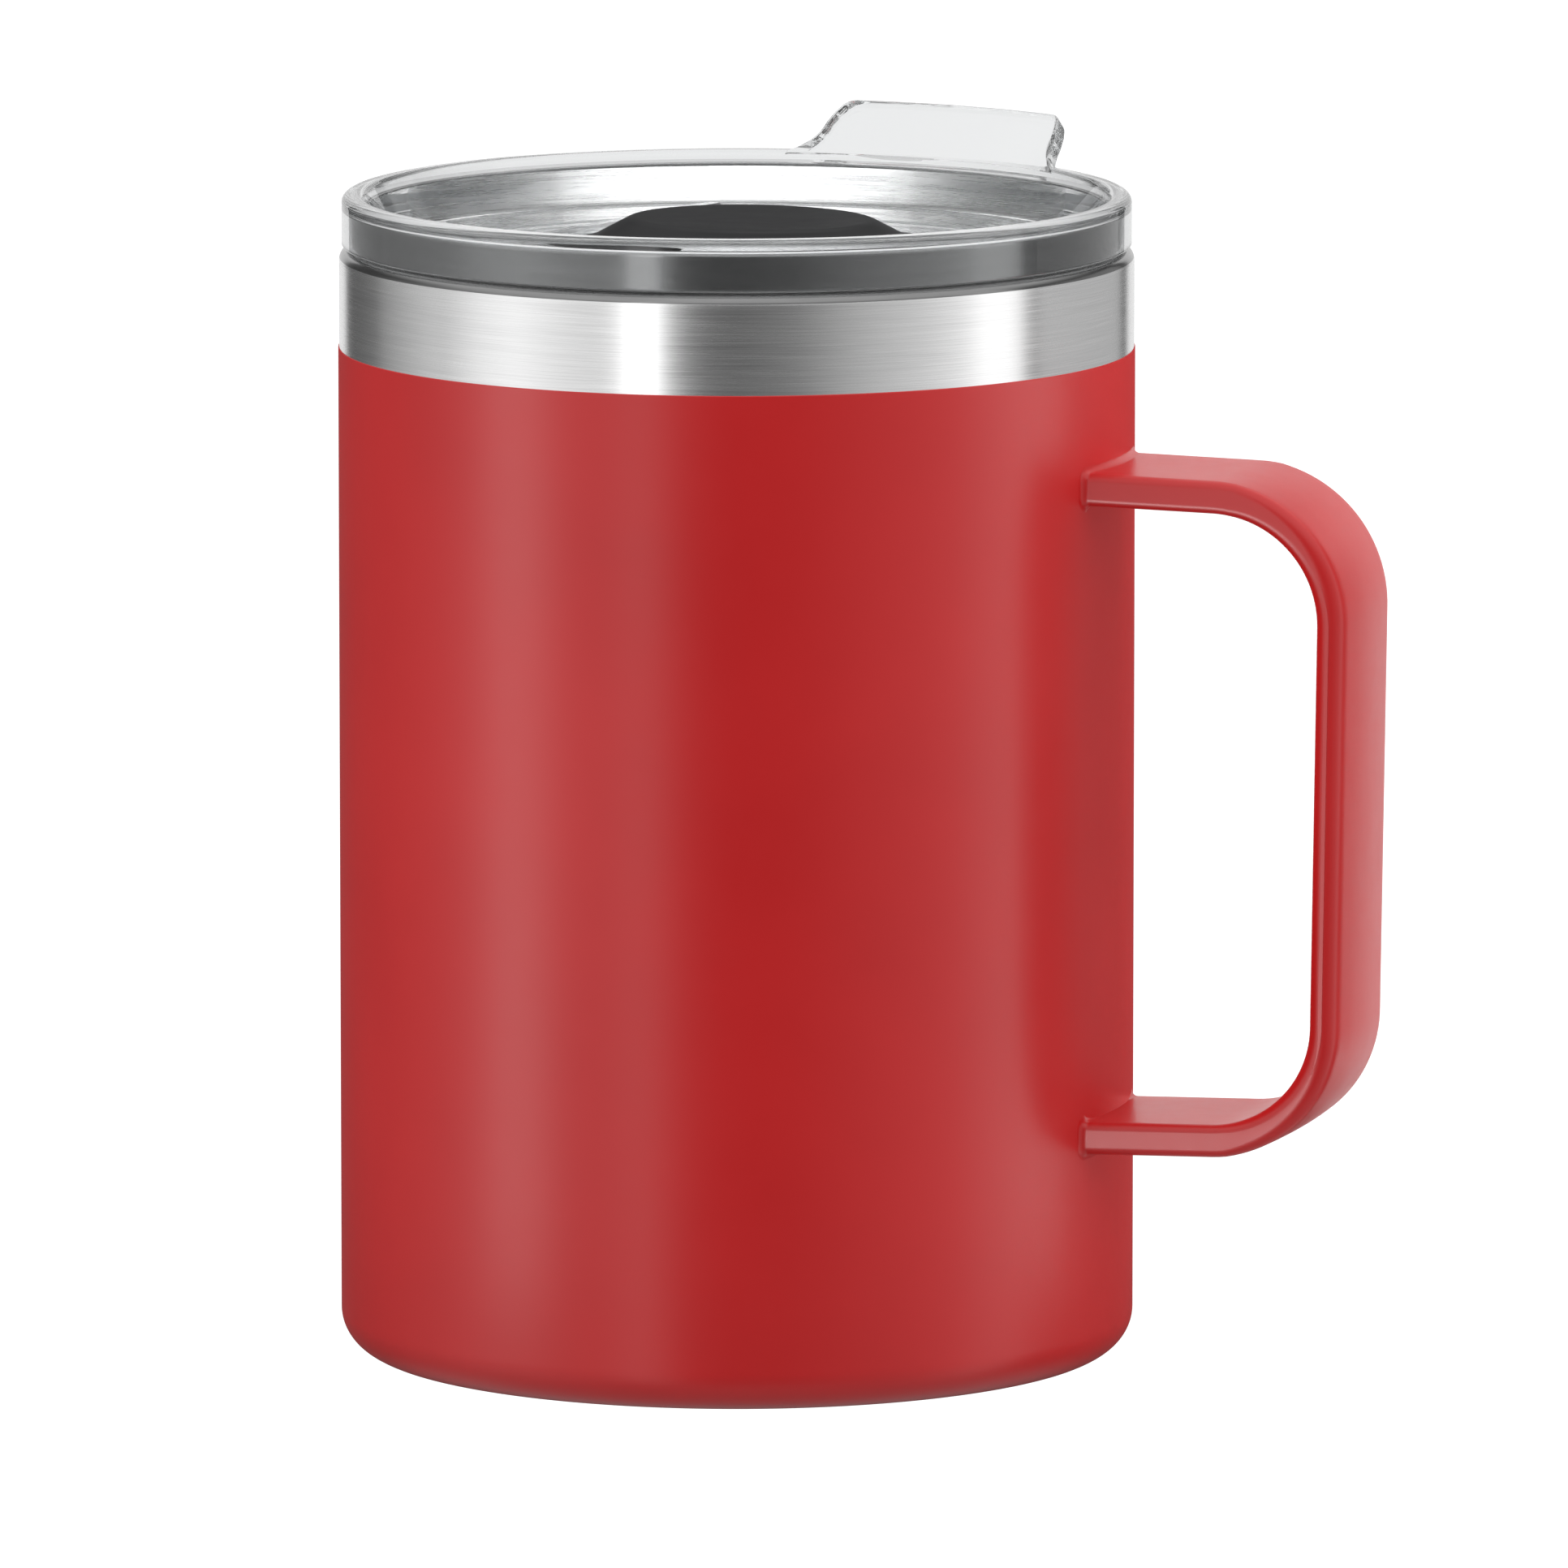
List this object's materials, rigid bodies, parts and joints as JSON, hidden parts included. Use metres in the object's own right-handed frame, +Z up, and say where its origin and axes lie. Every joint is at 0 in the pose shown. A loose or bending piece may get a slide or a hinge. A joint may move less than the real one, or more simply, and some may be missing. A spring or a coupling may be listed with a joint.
{
  "type": "insulated travel mug",
  "caption": "Double-wall steel travel mug with a coated body, a bare steel band, a welded strap handle, and a clear press-in lid with a thumb tab and a sliding closure.",
  "frame": {"origin": "on the cup's axis, at the surface that the mug stands on", "axes": "+Z up along the cup's axis, +X from the axis through the handle"},
  "size_m": [0.1142, 0.0901, 0.131],
  "materials": {
    "brushed_steel": "brushed around the axis",
    "red_powder_coat": "satin powder coat",
    "satin_steel": "satin, as drawn",
    "polished_steel": "polished",
    "copper_foil": "bright copper foil",
    "sealing_glass": "fused sealing glass",
    "getter_metal": "sintered",
    "spun_steel": "spun in rings",
    "clear_plastic": "clear, slightly grey, glossy",
    "clear_silicone": "translucent, matte",
    "black_plastic": "moulded, satin",
    "grey_silicone": "matte"
  },
  "bodies": {
    "cup": {"outer_shell": "brushed_steel", "powder_coat": "red_powder_coat", "liner_wall": "satin_steel", "liner_bottom": "satin_steel", "lip_weld": "polished_steel", "reflective_foil": "copper_foil", "base_pan": "satin_steel", "evacuation_plug": "sealing_glass", "getter": "getter_metal", "getter_clip": "satin_steel", "base_disc": "spun_steel", "handle_outer_half": "red_powder_coat", "handle_inner_half": "red_powder_coat", "upper_weld": "red_powder_coat", "lower_weld": "red_powder_coat"},
    "lid": {"lid_body": "clear_plastic", "lid_gasket": "clear_silicone"},
    "slider": {"slider": "black_plastic", "slider_seal": "grey_silicone"}
  },
  "joints": [
    {"name": "lid_lift", "type": "slide", "parent": "cup", "child": "lid", "axis": [0, 0, 1], "range_m": [0, 0.06]},
    {"name": "slider_slide", "type": "slide", "parent": "lid", "child": "slider", "axis": [0.2588, 0.9659, 0], "range_m": [0, 0.012]}
  ]
}
